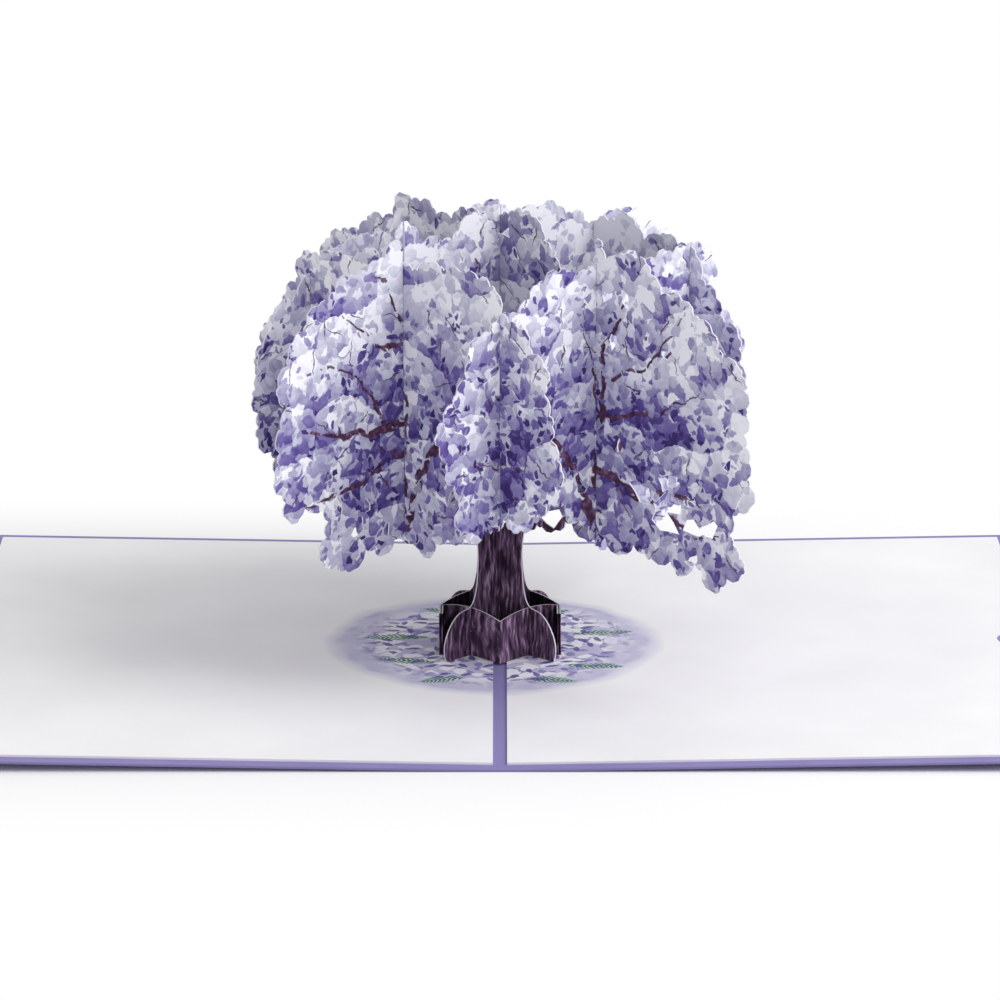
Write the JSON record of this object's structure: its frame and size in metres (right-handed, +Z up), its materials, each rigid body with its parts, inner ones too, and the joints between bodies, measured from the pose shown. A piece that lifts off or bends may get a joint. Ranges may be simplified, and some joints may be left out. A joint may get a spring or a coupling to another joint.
{
  "type": "pop up card",
  "caption": "Greeting card lying open, with a paper tree of interlocked blossom sheets standing on its spine inside a folded ring round the roots",
  "frame": {"origin": "middle of the underside of the spine strip, on the table", "axes": "+X to the reader's right across the open card, +Y away from the reader along the spine, +Z up the tree's trunk"},
  "size_m": [0.2572, 0.178, 0.1085],
  "materials": {
    "lavender_card": "matte",
    "white_card": "matte",
    "bark_print_paper": "matte",
    "tree_print_paper": "matte",
    "blossom_print_paper": "matte"
  },
  "bodies": {
    "root": {"outer_cover": "lavender_card", "left_liner": "white_card", "right_liner": "white_card", "root_ring_front": "bark_print_paper", "root_ring_back": "bark_print_paper", "trunk_sheet_a": "tree_print_paper", "trunk_sheet_b": "tree_print_paper", "foliage_sheet_a_front": "blossom_print_paper", "foliage_sheet_a_back": "blossom_print_paper", "foliage_sheet_b_front": "blossom_print_paper", "foliage_sheet_b_back": "blossom_print_paper"}
  },
  "joints": []
}
